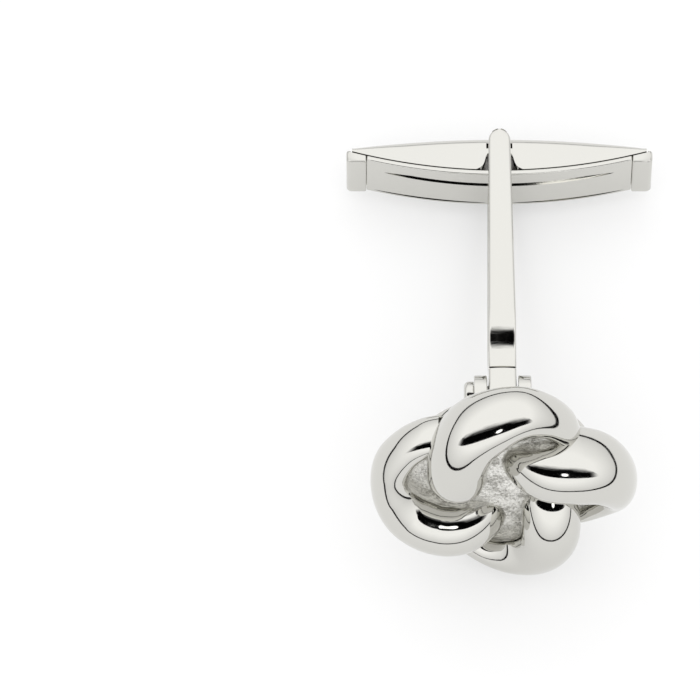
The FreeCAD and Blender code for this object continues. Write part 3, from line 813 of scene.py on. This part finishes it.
def dress_cad_nodes():
    """Finish and softened edges for the CAD pieces that show as they are."""
    for name in ("back_plate", "hinge_bracket", "hinge_pin", "toggle_pin", "leaf_spring"):
        node = frame["nodes"][name]
        node.data.materials.clear()
        node.data.materials.append(STEEL if name == "leaf_spring" else POLISHED)
        joined = node.modifiers.new("join", "WELD")
        joined.merge_threshold = SOLID_JOIN * MM
        soft = node.modifiers.new("soften", "BEVEL")
        soft.width = SOFT_EDGE * MM
        soft.segments = SOFT_STEPS
        soft.limit_method = "ANGLE"
        soft.angle_limit = math.radians(EDGE_ANGLE)
        soft.harden_normals = True


# Table and tent, in metres

TABLE_RADIUS = 0.6
TABLE_GAP_HEIGHT = 0.045
TABLE_SIDES = 96
# How much the table is lifted where it is seen, and the tent's strength from its foot to its height.
TABLE_LIFT = 0.41
TENT_FOOT = 0.88
TENT_OVERHEAD = 1.36
TENT_RISE = 0.6


def matte_material(name, colour):
    """A matte studio surface of one colour, with its node tree and its shader."""
    material, tree, shader = new_material(name)
    shader.inputs["Base Color"].default_value = srgb(colour)
    shader.inputs["Roughness"].default_value = 0.9
    shader.inputs["Specular IOR Level"].default_value = 0.0
    return material, tree, shader


def stage_mesh(name, vertices, faces, material):
    """A piece of the studio round the object."""
    mesh = mesh_from(vertices, faces)
    mesh.materials.append(material)
    item = bpy.data.objects.new(name, mesh)
    scene.collection.objects.link(item)
    return item


def white_table():
    """White card. Seen directly or mirrored it is lifted a little, so only the contact shadow shows."""
    material, tree, shader = matte_material("white_table", "BDBDBD")
    path = add_node(tree, "LightPath", {}).outputs
    seen = {0: path["Is Camera Ray"], 1: path["Is Glossy Ray"]}
    mirrored = add_node(tree, "Math", seen, operation="MAXIMUM").outputs["Value"]
    through = {0: mirrored, 1: path["Is Transmission Ray"]}
    shown = add_node(tree, "Math", through, operation="MAXIMUM").outputs["Value"]
    lift = add_node(tree, "Math", {0: shown, 1: TABLE_LIFT}, operation="MULTIPLY").outputs["Value"]
    shader.inputs["Emission Color"].default_value = srgb("FFFFFF")
    tree.links.new(lift, shader.inputs["Emission Strength"])
    return material


def table_ring(height):
    """Points round the table's edge at a height."""
    return [Vector((x, y, height)) for x, y in circle_points((0, 0), TABLE_RADIUS, TABLE_SIDES)]


def build_table():
    """A white table with a black band at its far edge, where the tent begins: painted shade standing in for
    the shadowed gap there.
    """
    rim = table_ring(0)
    stage_mesh("white_table", rim, [tuple(range(TABLE_SIDES))], white_table())
    edge = rim + table_ring(TABLE_GAP_HEIGHT)
    # Painted shade: this black band is hidden from the camera and stands in for the shade in the gap between
    # table and tent, which the silver mirrors as a dark line.
    dark = matte_material("shaded_gap_band", "0A0A0A")[0]
    gap = stage_mesh("shaded_gap_band", edge, ring_quads(2, TABLE_SIDES), dark)
    gap.visible_camera = False


def build_tent():
    """The white tent round the table, a little brighter overhead than at the table's edge."""
    world = bpy.data.worlds.new("white_tent")
    scene.world = world
    world.use_nodes = True
    tree = world.node_tree
    tree.nodes.clear()
    direction = add_node(tree, "TexCoord", {}).outputs["Generated"]
    height = add_node(tree, "SeparateXYZ", {"Vector": direction}).outputs["Z"]
    rise = {"Value": height, "From Max": TENT_RISE, "To Min": TENT_FOOT, "To Max": TENT_OVERHEAD}
    strength = add_node(tree, "MapRange", rise).outputs["Result"]
    background = add_node(tree, "Background", {"Color": srgb("FFFFFF"), "Strength": strength})
    add_node(tree, "OutputWorld", {"Surface": background.outputs["Background"]})


# Camera, in metres where no other unit is named

CAMERA_ELEVATION = 68.0
CAMERA_DISTANCE = 0.40
CLIP_START = 0.01
CLIP_END = 10
SENSOR_MM = 36
PHOTO_PIXELS = 700
PIXELS_PER_MM = 17.1
# Pixel of the photograph at which the toggle's pivot lies.
PIVOT_PIXEL = (499, 171)


def build_camera():
    """Looks down at the link from the photograph's side, with the link right of the middle."""
    lift = math.radians(CAMERA_ELEVATION)
    back = Vector((0, -math.cos(lift), math.sin(lift)))
    up = Vector((0, math.sin(lift), math.cos(lift)))
    right = Vector((1, 0, 0))
    pivot = ROW @ Vector((0, PIVOT_Y, 0))
    middle = PHOTO_PIXELS / 2
    step = MM / PIXELS_PER_MM
    aim = pivot - right * (PIVOT_PIXEL[0] - middle) * step + up * (PIVOT_PIXEL[1] - middle) * step
    data = bpy.data.cameras.new("camera")
    data.sensor_width = SENSOR_MM
    data.lens = SENSOR_MM * CAMERA_DISTANCE / (PHOTO_PIXELS * step)
    data.clip_start = CLIP_START
    data.clip_end = CLIP_END
    camera = bpy.data.objects.new("camera", data)
    camera.location = aim + back * CAMERA_DISTANCE
    camera.rotation_mode = "QUATERNION"
    camera.rotation_quaternion = (-back).to_track_quat("-Z", "Y")
    scene.collection.objects.link(camera)
    scene.camera = camera
    return camera


# Dark cloth round the lens, in metres from the lens, with one small lamp on it

LENS_HALF_WIDTH = 0.75
LENS_LOW = 0.105
LENS_HIGH = 0.25
LENS_SETBACK = 0.02
LENS_SIDES = 48
# Shares of the cloth's height and half width between which it fades out, with uneven folds.
LENS_TOP_SHARES = {"From Min": 0.7, "From Max": 1.1}
LENS_SIDE_SHARES = {"From Min": 0.6, "From Max": 1.0}
LENS_FOLD_COUNT = 9.0
LENS_FOLD_SHARE = 0.4
LAMP_PLACE = (0.075, -0.02)
LAMP_RADIUS = 0.035
LAMP_GLOW = 1.6
LAMP_SIDES = 24


def lens_cloth():
    """Dark cloth with a hard lower edge, fading out upwards and to both sides."""
    material, tree, shader = matte_material("lens_shade", "060606")
    place = add_node(tree, "TexCoord", {}).outputs["Generated"]
    parts = add_node(tree, "SeparateXYZ", {"Vector": place})
    folds = add_node(tree, "TexNoise", {"Vector": place, "Scale": LENS_FOLD_COUNT, "Detail": 3.0})
    folded = {0: folds.outputs["Fac"], 1: LENS_FOLD_SHARE, 2: parts.outputs["Y"]}
    height = add_node(tree, "Math", folded, operation="MULTIPLY_ADD").outputs["Value"]
    sideways = add_node(tree, "MapRange", {"Value": parts.outputs["X"], "To Min": -1.0})
    away = add_node(tree, "Math", {0: sideways.outputs["Result"]}, operation="ABSOLUTE").outputs["Value"]
    fade = add_node(tree, "Math", {}, operation="MAXIMUM")
    reaches = ({"Value": height, **LENS_TOP_SHARES}, {"Value": away, **LENS_SIDE_SHARES})
    for index, inputs in enumerate(reaches):
        eased = add_node(tree, "MapRange", inputs, interpolation_type="SMOOTHSTEP")
        tree.links.new(eased.outputs["Result"], fade.inputs[index])
    clear = add_node(tree, "BsdfTransparent", {}).outputs["BSDF"]
    layers = {"Fac": fade.outputs["Value"], 1: shader.outputs["BSDF"], 2: clear}
    mixed = add_node(tree, "MixShader", layers)
    tree.links.new(mixed.outputs["Shader"], tree.nodes["Material Output"].inputs["Surface"])
    return material


def lamp_glass():
    """A plain white light."""
    material, tree, shader = matte_material("lens_lamp", "FFFFFF")
    shader.inputs["Emission Color"].default_value = srgb("FFFFFF")
    shader.inputs["Emission Strength"].default_value = LAMP_GLOW
    return material


def build_lens_card(camera):
    """The dark cloth round the lens with one small lamp beside it, which the silver mirrors."""
    place = Matrix.LocRotScale(camera.location, camera.rotation_quaternion, None)
    rim = []
    for x, rise in circle_points((0, 0), 1, LENS_SIDES):
        reach = LENS_HIGH if rise > 0 else LENS_LOW
        rim.append(Vector((LENS_HALF_WIDTH * x, reach * rise * math.sqrt(abs(rise)), 0)))
    card = stage_mesh("lens_card", rim, [tuple(range(LENS_SIDES))], lens_cloth())
    card.matrix_world = place @ Matrix.Translation((0, 0, LENS_SETBACK))
    lamp = [Vector((x, y, 0)) for x, y in circle_points(LAMP_PLACE, LAMP_RADIUS, LAMP_SIDES)]
    spot = stage_mesh("lens_lamp", lamp, [tuple(range(LAMP_SIDES))], lamp_glass())
    spot.matrix_world = place
    for item in (card, spot):
        item.visible_camera = False
        item.visible_diffuse = False


def main():
    """Builds the pieces, the studio and the camera."""
    build_knot()
    build_post()
    build_toggle()
    dress_cad_nodes()
    build_table()
    build_tent()
    build_lens_card(build_camera())
    scene.view_settings.view_transform = "Standard"


main()
